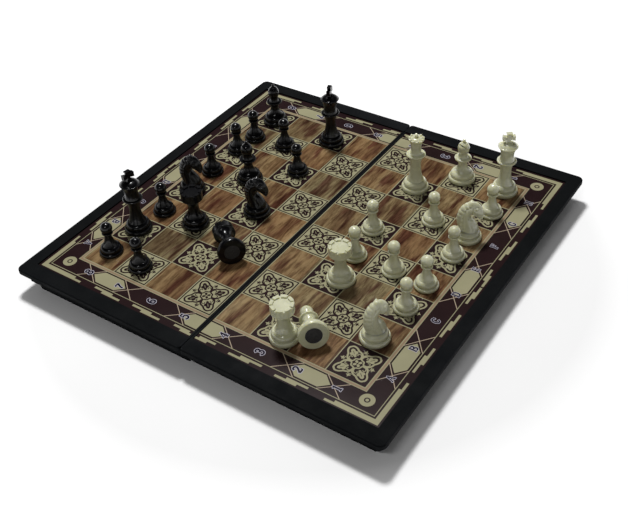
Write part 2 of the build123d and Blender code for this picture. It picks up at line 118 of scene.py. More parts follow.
def place(made):
    """Where a point is on the object, in metres."""
    return add(made, "TexCoord").outputs["Object"]


def noise(made, scale, detail=4.0, vector=None, roughness=0.55):
    """Cloudy values from 0 to 1, the finer the larger the scale."""
    inputs = {"Scale": scale, "Detail": detail, "Roughness": roughness, "Vector": vector or place(made)}
    return add(made, "TexNoise", inputs).outputs["Fac"]


def ramp(made, value, stops):
    """Colours along a value, each stop a place and a colour."""
    node = add(made, "ValToRGB", {"Fac": value})
    band = node.color_ramp.elements
    while len(band) < len(stops):
        band.new(1.0)
    for element, (at, shade) in zip(band, stops):
        element.position = at
        element.color = shade
    return node.outputs["Color"]


def level(made, value, low, high, start=0.0, end=1.0):
    """A value moved from one range to another."""
    inputs = {"Value": value, "From Min": start, "From Max": end, "To Min": low, "To Max": high}
    return add(made, "MapRange", inputs).outputs["Result"]


def mix(made, share, one, two, kind="MIX"):
    """Two colours, mixed by a share or multiplied."""
    node = add(made, "Mix", data_type="RGBA", blend_type=kind)
    for socket, value in zip((node.inputs[0], node.inputs[6], node.inputs[7]), (share, one, two)):
        if isinstance(value, bpy.types.NodeSocket):
            made.node_tree.links.new(value, socket)
        else:
            socket.default_value = value
    return node.outputs[2]


def bump(made, shade, height, depth, strength):
    """Relief from a height pattern that is so deep, in metres."""
    node = add(made, "Bump", {"Height": height, "Distance": depth, "Strength": strength})
    made.node_tree.links.new(node.outputs["Normal"], shade.inputs["Normal"])


def link(made, output, shade, name):
    """One node's output, led to an input of another."""
    made.node_tree.links.new(output, shade.inputs[name])


def shades(made, value, dark, light):
    """The usual ramp from a dark colour to a light one, over the middle of a noise."""
    return ramp(made, value, [(0.3, dark), (0.7, light)])


def case_material():
    """Black moulded plastic: a fine spark-eroded grain and light scuffs, with its sharp edges and ridges
    painted lighter grey, partly as rubbed wear and partly as a painted highlight.
    """
    made, shade = shader("case_plastic_worn_and_painted_edge_highlight", Specular_IOR_Level=0.05)
    base = shades(made, noise(made, 18.0), colour(6, 8, 9), colour(11, 13, 15))
    # Lighter grey on sharp edges and ridges: partly rubbed wear, partly a painted highlight along the
    # ridges
    edge = add(made, "NewGeometry").outputs["Pointiness"]
    rubbed_edge_and_highlight = level(made, edge, low=0.0, high=0.35, start=0.52, end=0.6)
    link(made, mix(made, rubbed_edge_and_highlight, base, colour(46, 48, 51)), shade, "Base Color")
    scuff = noise(made, 60.0, detail=6.0)
    link(made, level(made, scuff, low=0.6, high=0.78, start=0.35, end=0.7), shade, "Roughness")
    bump(made, shade, noise(made, 1400.0, detail=2.0), depth=0.00004, strength=0.5)
    return made


def sheet_finish(made, shade, low, high):
    """The gloss of the coated sheet, from one roughness to another, and its faint waves."""
    link(made, level(made, noise(made, 30.0), low, high), shade, "Roughness")
    bump(made, shade, noise(made, 220.0, detail=2.0), depth=0.00003, strength=0.35)


def print_material(name, base, spread, rough):
    """Ink on coated tinplate: a little uneven, with a fine screen of dots and faint waves."""
    made, shade = shader("print_" + name, Specular_IOR_Level=0.1)
    lighter = tuple(min(part * (1 + spread), 1.0) for part in base[:3]) + (1.0,)
    darker = tuple(part * (1 - spread) for part in base[:3]) + (1.0,)
    tone = shades(made, noise(made, 45.0, detail=5.0), darker, lighter)
    speck = level(made, noise(made, 2600.0, detail=1.0), low=0.0, high=0.35, start=0.5, end=0.72)
    link(made, mix(made, speck, tone, darker), shade, "Base Color")
    sheet_finish(made, shade, rough - 0.04, rough + 0.05)
    return made


# The printed wood: how its pattern is drawn out along Y and bent, and its colours
DRAWN_OUT = (1.0, 0.16, 1.0)
BEND = (0.009, 0.004, 0.0)
WOOD = [
    (0.24, colour(88, 62, 48)), (0.38, colour(112, 86, 62)), (0.5, colour(134, 110, 80)),
    (0.62, colour(146, 124, 92)), (0.78, colour(154, 134, 104)),
]
TINTS = [(0.1, colour(250, 242, 232)), (0.5, colour(244, 247, 240)), (0.9, colour(226, 246, 246))]
STREAKS = [(0.5, colour(255, 255, 255)), (0.64, colour(152, 106, 120))]
FINE_LINES = [(0.38, colour(150, 134, 124)), (0.6, colour(255, 255, 255))]


def wood_material():
    """Printed wood grain along the board, another piece of it on each square."""
    made, shade = shader("print_wood", Specular_IOR_Level=0.12)
    at = add(made, "SeparateXYZ", {"Vector": place(made)})
    cell = []
    for axis in ("X", "Y"):
        count = add(made, "Math", {0: at.outputs[axis], 1: SQUARE * MM}, operation="DIVIDE").outputs[0]
        cell.append(add(made, "Math", {0: count}, operation="FLOOR").outputs[0])
    corner = add(made, "CombineXYZ", {"X": cell[0], "Y": cell[1]}).outputs[0]
    chance = add(made, "TexWhiteNoise", {"Vector": corner}, noise_dimensions="3D").outputs
    moved = add(made, "VectorMath", {0: chance["Color"], 1: place(made)}, operation="ADD").outputs[0]
    long = add(made, "Mapping", {"Vector": moved, "Scale": DRAWN_OUT}).outputs[0]
    wavy = add(made, "TexNoise", {"Scale": 60.0, "Detail": 3.0, "Vector": long}).outputs["Color"]
    bent = add(made, "VectorMath", {0: wavy, 1: BEND}, operation="MULTIPLY").outputs[0]
    grain = add(made, "VectorMath", {0: long, 1: bent}, operation="ADD").outputs[0]
    wood = ramp(made, noise(made, 95.0, 3.0, grain), WOOD)
    tinted = mix(made, 1.0, wood, ramp(made, chance["Value"], TINTS), "MULTIPLY")
    streaks = ramp(made, noise(made, 150.0, 2.0, grain), STREAKS)
    streaked = mix(made, 0.85, tinted, streaks, "MULTIPLY")
    lines = ramp(made, noise(made, 420.0, 5.0, grain, 0.7), FINE_LINES)
    link(made, mix(made, 0.8, streaked, lines, "MULTIPLY"), shade, "Base Color")
    sheet_finish(made, shade, 0.18, 0.28)
    return made


def ivory_material():
    """Cream plastic, slightly clear, cloudy with flow marks, and polished by the mould."""
    made, shade = shader(
        "ivory_plastic_moulded", Specular_IOR_Level=0.5, Subsurface_Weight=0.55, Subsurface_Scale=0.0035,
        Subsurface_Radius=(1.0, 0.95, 0.55), Coat_Weight=0.5, Coat_Roughness=0.09,
    )
    cloud = shades(made, noise(made, 90.0, detail=3.0), colour(190, 190, 158), colour(202, 202, 174))
    link(made, cloud, shade, "Base Color")
    link(made, level(made, noise(made, 140.0), low=0.2, high=0.34), shade, "Roughness")
    bump(made, shade, noise(made, 500.0, detail=2.0), depth=0.00003, strength=0.4)
    return made


def black_material():
    """Black plastic, polished by the mould, with flow marks and fingermarks."""
    made, shade = shader(
        "black_plastic_moulded", Specular_IOR_Level=0.12, Coat_Weight=0.35, Coat_Roughness=0.08,
    )
    link(made, shades(made, noise(made, 90.0), colour(4, 4, 6), colour(8, 8, 11)), shade, "Base Color")
    link(made, level(made, noise(made, 160.0, detail=5.0), low=0.28, high=0.36), shade, "Roughness")
    bump(made, shade, noise(made, 420.0, detail=2.0), depth=0.000015, strength=0.3)
    return made


def magnet_material():
    """Pressed ferrite: dark grey, matt and grainy."""
    made, shade = shader("magnet_ferrite", Metallic=0.25)
    grains = shades(made, noise(made, 700.0), colour(22, 22, 23), colour(44, 43, 43))
    link(made, grains, shade, "Base Color")
    link(made, level(made, noise(made, 300.0), low=0.5, high=0.75), shade, "Roughness")
    bump(made, shade, noise(made, 1500.0, detail=3.0), depth=0.00008, strength=0.8)
    return made


def steel_material(name, tint):
    """Drawn steel or tinplate: bright, with fine lines along it and dull spots."""
    made, shade = shader(name, Metallic=1.0)
    long = add(made, "Mapping", {"Vector": place(made), "Scale": (1.0, 0.05, 1.0)}).outputs[0]
    link(made, shades(made, noise(made, 90.0), tint, colour(190, 191, 192)), shade, "Base Color")
    link(made, level(made, noise(made, 900.0, 3.0, long), low=0.25, high=0.5), shade, "Roughness")
    bump(made, shade, noise(made, 1800.0, 2.0, long), depth=0.00002, strength=0.5)
    return made


# The materials that are used. Those of the print are its inks, the wood and the bare metal of its edges.
CREAM_INK = colour(146, 142, 113)
MAROON_INK = colour(36, 23, 24)
PRINT = {
    "maroon": print_material("maroon", MAROON_INK, spread=0.16, rough=0.22),
    "cream": print_material("cream", CREAM_INK, spread=0.07, rough=0.24),
    "wood": wood_material(),
    "tan": print_material("tan", colour(136, 116, 94), spread=0.1, rough=0.24),
    "rose": print_material("rose", colour(166, 150, 130), spread=0.08, rough=0.24),
    "navy": print_material("navy", colour(18, 16, 32), spread=0.12, rough=0.22),
    "lilac": print_material("lilac", colour(166, 162, 172), spread=0.08, rough=0.24),
    "metal": steel_material("tinplate", colour(150, 151, 153)),
}
CASE = case_material()
IVORY = ivory_material()
BLACK = black_material()
MAGNET = magnet_material()
PIN = steel_material("pin_steel_drawn", colour(140, 141, 144))


# Flat drawing
CELLS = 40  # a painting's shapes are sorted into so many cells along its longer side
TINY = 1e-7  # shapes with hardly any area are left out
NEAR = 1e-6  # points closer than this share of a cell are one
SHARPEST = 0.4  # keeps the mitre of a very sharp corner short


def smooth(points, steps=6, closed=False):
    """Points along a smooth line through the given ones."""
    count = len(points)
    line = []
    for i in range(count if closed else count - 1):
        picks = [i - 1, i, i + 1, i + 2]
        if closed:
            picks = [k % count for k in picks]
        else:
            picks = [min(max(k, 0), count - 1) for k in picks]
        before, start, end, after = (points[k] for k in picks)
        for step in range(steps):
            t = step / steps
            line.append(tuple(
                q + 0.5 * t * (r - p + t * (2 * p - 5 * q + 4 * r - s + t * (3 * q - p - 3 * r + s)))
                for p, q, r, s in zip(before, start, end, after)
            ))
    if not closed:
        line.append(tuple(points[-1]))
    return line


def quarter_turns(points, count):
    """Points turned about the origin, so many quarters to the left."""
    for _ in range(count):
        points = [(-y, x) for x, y in points]
    return points


def diagonal(points):
    """Points given along and across the diagonal."""
    return [((a - b) * math.sqrt(0.5), (a + b) * math.sqrt(0.5)) for a, b in points]


def inside(x, y, shape):
    """Whether a point is in a closed outline."""
    found = False
    x0, y0 = shape[-1]
    for x1, y1 in shape:
        if (y0 > y) != (y1 > y) and x < x0 + (y - y0) * (x1 - x0) / (y1 - y0):
            found = not found
        x0, y0 = x1, y1
    return found


class Painting:
    """Flat shapes, each with a colour. Later ones cover earlier ones. X can be mirrored."""

    def __init__(self, mirrored=False):
        self.shapes = []
        self.way = -1 if mirrored else 1

    def fill(self, ink, points):
        points = [(self.way * x, y) for x, y in points]
        area = sum(x0 * y1 - x1 * y0 for (x0, y0), (x1, y1) in zip(points, points[1:] + points[:1]))
        if abs(area) > TINY:
            self.shapes.append((ink, points if area > 0 else points[::-1]))

    def box(self, ink, x0, y0, x1, y1):
        self.fill(ink, [(x0, y0), (x1, y0), (x1, y1), (x0, y1)])

    def disc(self, ink, middle, radius, sides=40, lobes=0, swell=0.0):
        """A disc, whose edge can swell out and in by so much at its lobes."""
        points = []
        for k in range(sides):
            turn = 2 * math.pi * k / sides
            reach = radius + swell * math.cos(lobes * turn)
            points.append((middle[0] + reach * math.cos(turn), middle[1] + reach * math.sin(turn)))
        self.fill(ink, points)

    def line(self, ink, points, width, closed=False):
        """A band along a line, with mitred corners."""
        count = len(points)
        edges = []
        for i in range(count):
            here = Vector(points[i])
            after = Vector(points[(i + 1) % count]) - here if closed or i < count - 1 else None
            before = here - Vector(points[i - 1]) if closed or i else after
            after = (after or before).normalized()
            before = before.normalized()
            across = Vector((-before.y - after.y, before.x + after.x)).normalized()
            reach = width / 2 / max(across.dot(Vector((-after.y, after.x))), SHARPEST)
            edges.append((here + across * reach, here - across * reach))
        for i in range(count if closed else count - 1):
            (a, b), (c, d) = edges[i], edges[(i + 1) % count]
            self.fill(ink, [tuple(a), tuple(b), tuple(d)])
            self.fill(ink, [tuple(a), tuple(d), tuple(c)])

    def triangles(self):
        """The painting as triangles that don't overlap, each with the colour on top."""
        points = []
        edges = []
        cells = {}
        low = [min(p[axis] for _, shape in self.shapes for p in shape) for axis in (0, 1)]
        high = [max(p[axis] for _, shape in self.shapes for p in shape) for axis in (0, 1)]
        step = max(high[0] - low[0], high[1] - low[1]) / CELLS

        def cell(x, y):
            return int((x - low[0]) / step), int((y - low[1]) / step)

        for index, (_, shape) in enumerate(self.shapes):
            first = len(points)
            points += [Vector(point) for point in shape]
            edges += [(first + k, first + (k + 1) % len(shape)) for k in range(len(shape))]
            i0, j0 = cell(min(p[0] for p in shape), min(p[1] for p in shape))
            i1, j1 = cell(max(p[0] for p in shape), max(p[1] for p in shape))
            for i in range(i0, i1 + 1):
                for j in range(j0, j1 + 1):
                    cells.setdefault((i, j), []).append(index)
        verts, _, tris, *_ = delaunay_2d_cdt(points, edges, [], 0, step * NEAR)
        painted = []
        for tri in tris:
            corners = [tuple(verts[v]) for v in tri]
            x, y = (sum(c[axis] for c in corners) / 3 for axis in (0, 1))
            for index in reversed(cells.get(cell(x, y), [])):
                ink, shape = self.shapes[index]
                if inside(x, y, shape):
                    painted.append((ink, corners))
                    break
        return painted


# One decorated square. Its side is 1 and its middle is the origin. Each form is drawn once, mirrored where
# it has two halves, and turned to the four quarters. The leaf and its vein lie along the diagonal.
LOBE = [
    (0.0, 0.15), (0.004, 0.2), (0.02, 0.255), (0.06, 0.298), (0.112, 0.322), (0.158, 0.334),
    (0.2, 0.366), (0.25, 0.396), (0.305, 0.408), (0.35, 0.4), (0.374, 0.374),
]
LEAF = [
    (0.462, 0.0), (0.44, 0.036), (0.402, 0.052), (0.372, 0.05), (0.358, 0.086), (0.318, 0.096),
    (0.284, 0.078), (0.266, 0.04), (0.236, 0.034), (0.2, 0.018),
]
SCROLL = [(0.022, 0.15), (0.028, 0.206), (0.052, 0.248), (0.098, 0.262), (0.13, 0.232), (0.108, 0.198)]
VEIN = ((0.29, 0.0), (0.39, 0.0))
STEM = ((0.0, 0.15), (0.0, 0.2))
PETAL = [(0.01, 0.012), (0.05, 0.01), (0.08, 0.036), (0.078, 0.078), (0.036, 0.08), (0.01, 0.05)]
BUD = [(0.016, 0.34), (0.05, 0.358), (0.054, 0.33), (0.02, 0.322)]
FLEURON = (0.38, 0.066, 0.028)  # its place, reach and waist
BOSS = ((0.158, 0.007), (0.122, 0.009))  # the middle ring's outer and inner edge: radius and swell
BOSS_LOBES = 8
BOSS_SIDES = 48
FRAME = 0.48
FRAME_LINE = 0.032
STROKE = 0.044
SCROLL_LINE = 0.022
VEIN_LINE = 0.012


def ornament(field, ink):
    """A decorated square's triangles. The pale one has a frame too."""
    art = Painting()
    art.box(field, -0.5, -0.5, 0.5, 0.5)
    if field == "cream":
        corners = [(-FRAME, -FRAME), (FRAME, -FRAME), (FRAME, FRAME), (-FRAME, FRAME)]
        art.line(ink, corners, FRAME_LINE, closed=True)
    for turn in range(4):
        lobe = LOBE + [(y, x) for x, y in LOBE[-2::-1]]
        art.line(ink, quarter_turns(smooth(lobe, 4), turn), STROKE)
        leaf = smooth(LEAF + [(a, -b) for a, b in LEAF[:0:-1]], 3, closed=True)
        art.fill(ink, quarter_turns(diagonal(leaf), turn))
        art.line(field, quarter_turns(diagonal(VEIN), turn), VEIN_LINE)
        for scroll in (SCROLL, [(y, x) for x, y in SCROLL]):
            art.line(ink, quarter_turns(smooth(scroll, 3), turn), SCROLL_LINE)
        art.line(ink, quarter_turns(STEM, turn), STROKE)
    for shade, (radius, swell) in zip((ink, field), BOSS):
        art.disc(shade, (0, 0), radius, BOSS_SIDES, BOSS_LOBES, swell)
    for turn in range(4):
        art.fill(ink, quarter_turns(smooth(PETAL, 3, closed=True), turn))
        far, reach, waist = FLEURON
        star = []
        for k in range(8):
            arm = waist if k % 2 else reach
            star.append((arm * math.cos(math.pi * k / 4), far + arm * math.sin(math.pi * k / 4)))
        art.fill(ink, quarter_turns(star, turn))
        for side in (-1, 1):
            art.fill(ink, quarter_turns([(side * x, y) for x, y in BUD], turn))
    return art.triangles()


# Figures and letters: strokes in a box from -0.5 to 0.5, a thick one starting with True
GLYPHS = {
    "1": [
        (True, [(0, -0.5), (0, 0.5)]), (False, [(-0.2, 0.34), (0, 0.5)]),
        (False, [(-0.2, -0.5), (0.2, -0.5)]),
    ],
    "2": [
        (True, smooth([
            (-0.24, 0.26), (-0.16, 0.45), (0.04, 0.5), (0.22, 0.36), (0.18, 0.1), (-0.26, -0.44),
        ])),
        (True, [(-0.26, -0.45), (0.27, -0.45)]), (False, [(0.29, -0.48), (0.29, -0.24)]),
    ],
    "3": [
        (True, smooth([
            (-0.24, 0.3), (-0.12, 0.47), (0.08, 0.5), (0.22, 0.34), (0.14, 0.1), (-0.06, 0.03),
        ])),
        (True, smooth([
            (-0.06, 0.03), (0.2, -0.04), (0.28, -0.26), (0.12, -0.47), (-0.12, -0.5), (-0.28, -0.32),
        ])),
    ],
    "4": [
        (False, [(0.1, 0.5), (-0.3, -0.2), (0.32, -0.2)]), (True, [(0.1, 0.5), (0.1, -0.5)]),
        (False, [(-0.06, -0.5), (0.26, -0.5)]),
    ],
    "5": [
        (True, [(-0.17, 0.46), (0.24, 0.46)]), (False, [(-0.17, 0.5), (-0.21, 0.04)]),
        (True, smooth([
            (-0.21, 0.04), (0.04, 0.12), (0.25, -0.06), (0.22, -0.36), (-0.02, -0.5), (-0.26, -0.36),
        ])),
    ],
    "6": [
        (True, smooth([
            (0.2, 0.42), (0.02, 0.5), (-0.2, 0.3), (-0.26, -0.06), (-0.16, -0.42), (0.04, -0.5),
        ])),
        (True, smooth([(0.04, -0.5), (0.25, -0.32), (0.2, -0.02), (0.0, 0.06), (-0.22, -0.1)])),
    ],
    "7": [
        (True, [(-0.26, 0.46), (0.26, 0.46)]), (False, [(-0.28, 0.48), (-0.28, 0.26)]),
        (True, smooth([(0.25, 0.46), (0.06, 0.12), (-0.05, -0.2), (-0.06, -0.5)])),
    ],
    "8": [
        (True, smooth([(0, 0.5), (0.2, 0.36), (0.14, 0.12), (-0.14, 0.0), (-0.26, -0.28), (0, -0.5)])),
        (True, smooth([(0, 0.5), (-0.2, 0.36), (-0.14, 0.12), (0.14, 0.0), (0.26, -0.28), (0, -0.5)])),
    ],
    "A": [
        (False, [(-0.3, -0.5), (0, 0.5)]), (True, [(0, 0.5), (0.3, -0.5)]),
        (False, [(-0.2, -0.16), (0.2, -0.16)]), (False, [(-0.42, -0.5), (-0.18, -0.5)]),
        (False, [(0.16, -0.5), (0.44, -0.5)]),
    ],
    "B": [
        (True, [(-0.22, -0.5), (-0.22, 0.5)]), (False, [(-0.36, 0.5), (0, 0.5)]),
        (False, [(-0.36, -0.5), (0.04, -0.5)]),
        (True, smooth([(0, 0.5), (0.22, 0.38), (0.22, 0.14), (0, 0.02)])),
        (False, [(-0.22, 0.02), (0.02, 0.02)]),
        (True, smooth([(0.02, 0.02), (0.28, -0.12), (0.28, -0.38), (0.04, -0.5)])),
    ],
    "C": [
        (True, smooth([
            (0.28, 0.26), (0.14, 0.47), (-0.12, 0.46), (-0.3, 0), (-0.12, -0.46), (0.14, -0.47),
            (0.3, -0.24),
        ])),
        (False, [(0.3, 0.5), (0.3, 0.2)]),
    ],
    "D": [
        (True, [(-0.22, -0.5), (-0.22, 0.5)]), (False, [(-0.36, 0.5), (-0.02, 0.5)]),
        (False, [(-0.36, -0.5), (-0.02, -0.5)]),
        (True, smooth([(-0.02, 0.5), (0.22, 0.38), (0.32, 0), (0.22, -0.38), (-0.02, -0.5)])),
    ],
    "E": [
        (True, [(-0.2, -0.5), (-0.2, 0.5)]), (False, [(-0.34, 0.5), (0.28, 0.5), (0.28, 0.28)]),
        (False, [(-0.2, 0.02), (0.14, 0.02)]), (False, [(0.14, 0.14), (0.14, -0.1)]),
        (False, [(-0.34, -0.5), (0.3, -0.5), (0.3, -0.26)]),
    ],
    "F": [
        (True, [(-0.2, -0.5), (-0.2, 0.5)]), (False, [(-0.34, 0.5), (0.28, 0.5), (0.28, 0.28)]),
        (False, [(-0.2, 0.02), (0.14, 0.02)]), (False, [(0.14, 0.14), (0.14, -0.1)]),
        (False, [(-0.34, -0.5), (-0.04, -0.5)]),
    ],
    "G": [
        (True, smooth([
            (0.28, 0.26), (0.14, 0.47), (-0.12, 0.46), (-0.3, 0), (-0.12, -0.46), (0.14, -0.47),
            (0.28, -0.3),
        ])),
        (True, [(0.27, -0.44), (0.27, -0.04)]), (False, [(0.12, -0.04), (0.38, -0.04)]),
        (False, [(0.3, 0.5), (0.3, 0.2)]),
    ],
    "H": [
        (True, [(-0.24, -0.5), (-0.24, 0.5)]), (True, [(0.24, -0.5), (0.24, 0.5)]),
        (False, [(-0.24, 0.02), (0.24, 0.02)]),
        (False, [(-0.38, 0.5), (-0.1, 0.5)]), (False, [(0.1, 0.5), (0.38, 0.5)]),
        (False, [(-0.38, -0.5), (-0.1, -0.5)]), (False, [(0.1, -0.5), (0.38, -0.5)]),
    ],
}
# Widths of their strokes and of the pale edge round them, as shares of their height
THICK = 0.21
THIN = 0.11
HALO = 0.14


def label(art, glyph, x, y, up, size):
    """A figure or letter whose top points along X, to +X or -X."""
    strokes = []
    for thick, points in GLYPHS[glyph]:
        turned = [(x + up * b * size, y - up * a * size) for a, b in points]
        strokes.append(([(art.way * px, py) for px, py in turned], THICK if thick else THIN))
    for ink, extra in (("lilac", HALO), ("navy", 0.0)):
        for points, width in strokes:
            ends = [Vector(points[0]) - Vector(points[1]), Vector(points[-1]) - Vector(points[-2])]
            longer = [
                tuple(Vector(p) + e.normalized() * extra * size / 2)
                for p, e in zip((points[0], points[-1]), ends)
            ]
            halo = [longer[0], *points[1:-1], longer[1]]
            art.line(ink, halo if extra else points, (width + extra) * size)


# The border, along each side from its middle: where its lines cross, how far they reach to each side of
# that, its hexagons, and the runs of the stepped bars in the inner and the outer row
CROSSINGS = (19.5, 69.0, 105.2)
LINE_REACH = 8.8
HEX_TIP = 2.6  # from a crossing to the tip
HEX_SLOPE = 6.6
HEX_SIDES = (3.6, 15.2)  # out, from and to
SIDE_BARS = (
    [(71.4, 88.3), (33.8, 51.2), (7.9, 21.3), (-20.2, -6.5), (-58.2, -40.8), (-95.7, -78.3)],
    [(79.5, 96.7), (42.4, 59.3), (1.2, 14.6), (-13.4, -0.2), (-49.6, -32.5), (-86.9, -69.8)],
)
END_BARS = ([(4.4, 18.4), (39.5, 57.2), (77.0, 94.2)], [(2.05, 11.8), (30.7, 48.1), (68.8, 86.1)])
CORNER_BARS = (31.2, 39.9)  # how far the bars at a corner reach along a side


def side_points(side, points):
    """Points given as (along, out) beside the squares, on the board."""
    if side == "side":
        return [(SEAM + FIELD + out, s) for s, out in points]
    return [(s, out + FIELD if side == "back" else -out - FIELD) for s, out in points]


def border(art, side):
    """One side's hexagons and crossing lines."""
    shift = 0.0 if side == "side" else SEAM
    places = CROSSINGS if side != "side" else CROSSINGS + tuple(-c for c in CROSSINGS)
    places = [c + math.copysign(shift, c) for c in places]
    if side == "side":
        pairs = [(places[5], places[4]), (places[3], places[0]), (places[1], places[2])]
    else:
        pairs = [(-places[0], places[0]), (places[1], places[2])]
    middle = sum(HEX_SIDES) / 2
    for start, end in pairs:
        start, end = start + HEX_TIP, end - HEX_TIP
        low, high = HEX_SIDES
        hexagon = [
            (start, middle), (start + HEX_SLOPE, low), (end - HEX_SLOPE, low),
            (end, middle), (end - HEX_SLOPE, high), (start + HEX_SLOPE, high),
        ]
        if side != "side" and start < 0:
            hexagon = [
                (SEAM, low), (end - HEX_SLOPE, low), (end, middle), (end - HEX_SLOPE, high), (SEAM, high),
            ]
        art.fill("cream", side_points(side, hexagon))
    for s in places:
        for way in (-1, 1):
            ends = [(s - way * LINE_REACH, ZONE[0]), (s + way * LINE_REACH, ZONE[1])]
            art.line("rose", side_points(side, ends), LINE)


def bars(art, side):
    """One side's two rows of bars, with those that meet at the corners."""
    edge = EDGE_Y if side == "side" else EDGE_X
    for row, runs in enumerate(SIDE_BARS if side == "side" else END_BARS):
        low = BAR_START + row * BAR
        far = edge - BORDER + low + BAR
        runs = runs + [(far - CORNER_BARS[row], far)]
        if side == "side":
            runs = runs + [(-far, CORNER_BARS[row] - far)]
        for start, end in runs:
            bar = [(start, low), (end, low), (end, low + BAR), (start, low + BAR)]
            art.fill("cream", side_points(side, bar))


def is_plain(column, row, mirrored):
    """Whether a square is plain wood. Columns count from the seam and rows from the front."""
    return (column + row) % 2 == (1 if mirrored else 0)


def square_box(column, row):
    """A square inside its lines: its low X and Y, and its high X and Y."""
    line = GRID_LINE / 2
    x, y = SEAM + column * SQUARE, -FIELD + row * SQUARE
    return x + (GRID_LINE if column == 0 else line), y + line, x + SQUARE - line, y + SQUARE - line


def half_print(mirrored):
    """One half's painting, with nothing on its decorated squares."""
    art = Painting(mirrored)
    art.box("maroon", SEAM, -EDGE_Y, EDGE_X, EDGE_Y)
    for side in ("front", "back", "side"):
        border(art, side)
        bars(art, side)
    far = SEAM + FIELD
    out = ZONE[1] + LINE / 2
    low, high = -FIELD - out, FIELD + out
    art.line("cream", [(SEAM, low), (far + out, low), (far + out, high), (SEAM, high)], LINE)
    out = BAND + LINE
    art.box("cream", SEAM, -FIELD - out, far + out, FIELD + out)
    art.box("tan", SEAM, -FIELD - BAND, far + BAND, FIELD + BAND)
    line = GRID_LINE / 2
    art.box("cream", SEAM, -FIELD - line, far + line, FIELD + line)
    for column in range(4):
        for row in range(8):
            art.box("wood" if is_plain(column, row, mirrored) else None, *square_box(column, row))
    for way in (-1, 1):
        middle = (far + ROUNDEL_OUT[0], way * (FIELD + ROUNDEL_OUT[1]))
        for ink, radius in zip(("cream", "maroon", "cream"), ROUNDEL):
            art.disc(ink, middle, radius)
    for k in range(4):
        x = art.way * (SEAM + (k + 0.5) * SQUARE)
        digit = str(5 + k if mirrored else 4 - k)
        label(art, digit, x, -FIELD - LABEL_OUT, -1, DIGIT_SIZE)
        label(art, digit, x, FIELD + LABEL_OUT, 1, DIGIT_SIZE)
    x = art.way * (far + LABEL_OUT)
    for row, letter in enumerate("ABCDEFGH"):
        label(art, letter, x, (row + 0.5) * SQUARE - FIELD, 1 if mirrored else -1, LETTER_SIZE)
    return art.triangles()


def printed_sheet(name, node, body, mirrored, tiles):
    """One half's printed sheet: its face cut along the print, its edges and its underside bare tinplate."""
    inks = list(PRINT)
    way = -1 if mirrored else 1
    patches = [patch for patch in half_print(mirrored) if patch[0]]
    for column in range(4):
        for row in range(8):
            if is_plain(column, row, mirrored):
                continue
            x0, y0, x1, y1 = square_box(column, row)
            for ink, points in tiles["dark" if column % 2 else "pale"]:
                moved = [(x0 + (x + 0.5) * (x1 - x0), y0 + (y + 0.5) * (y1 - y0)) for x, y in points]
                patches.append((ink, [(way * x, y) for x, y in moved][::way]))
    mesh = bmesh.new()
    known = {}

    def vert(x, y, z):
        key = (round(x, 4), round(y, 4), z)
        if key not in known:
            known[key] = mesh.verts.new((x * MM, y * MM, z * MM))
        return known[key]

    for ink, points in patches:
        corners = [vert(x, y, PRINT_TOP) for x, y in points]
        if len(set(corners)) == 3 and not mesh.faces.get(corners):
            mesh.faces.new(corners).material_index = inks.index(ink)
    rim = [edge for edge in mesh.edges if edge.is_boundary]
    for part in bmesh.ops.extrude_edge_only(mesh, edges=rim)["geom"]:
        if isinstance(part, bmesh.types.BMVert):
            part.co.z = PRINT_UNDER * MM
        elif isinstance(part, bmesh.types.BMFace):
            part.material_index = inks.index("metal")
    lower = [edge for edge in mesh.edges if edge.is_boundary]
    for face in bmesh.ops.contextual_create(mesh, geom=lower)["faces"]:
        face.material_index = inks.index("metal")
    bmesh.ops.recalc_face_normals(mesh, faces=mesh.faces)
    data = bpy.data.meshes.new(name)
    mesh.to_mesh(data)
    mesh.free()
    for made in PRINT.values():
        data.materials.append(made)
    sheet = bpy.data.objects.new(name, data)
    bpy.context.scene.collection.objects.link(sheet)
    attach(sheet, body)
    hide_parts(node)


tiles = {"dark": ornament("maroon", "cream"), "pale": ornament("cream", "maroon")}
printed_sheet("print_left", "sheet_left", "left_half", True, tiles)
printed_sheet("print_right", "sheet_right", "right_half", False, tiles)


# The knights, in millimetres from the middle of the foot: each one's heading in degrees, plastic and slot
KNIGHTS = {
    "white_knight_1": (30, IVORY, "ivory_plastic"),
    "white_knight_2": (62, IVORY, "ivory_plastic"),
    "black_knight_1": (20, BLACK, "black_plastic"),
    "black_knight_2": (25, BLACK, "black_plastic"),
}
# A slice of the horse runs from its crest to its front, each given as forward and up, and is so wide to
# each side.
SLICES = [
    (-6.9, 8.3, 8.2, 8.3, 6.7), (-7.2, 10.6, 8.0, 10.4, 6.1), (-8.2, 14.0, 6.8, 13.2, 5.5),
    (-8.7, 18.0, 4.6, 16.4, 5.1), (-8.3, 22.8, 2.4, 18.9, 4.9), (-6.8, 27.6, 1.4, 21.0, 4.7),
    (-3.8, 31.4, 1.8, 22.6, 4.6), (0.5, 33.7, 3.4, 22.4, 4.4), (5.3, 33.2, 5.4, 20.9, 3.9),
    (8.5, 30.4, 6.9, 19.3, 3.4), (10.1, 27.2, 8.0, 18.2, 3.0), (10.9, 24.2, 9.0, 17.9, 2.8),
    (11.0, 21.4, 9.9, 18.3, 2.1), (10.7, 20.2, 10.3, 19.2, 0.7),
]
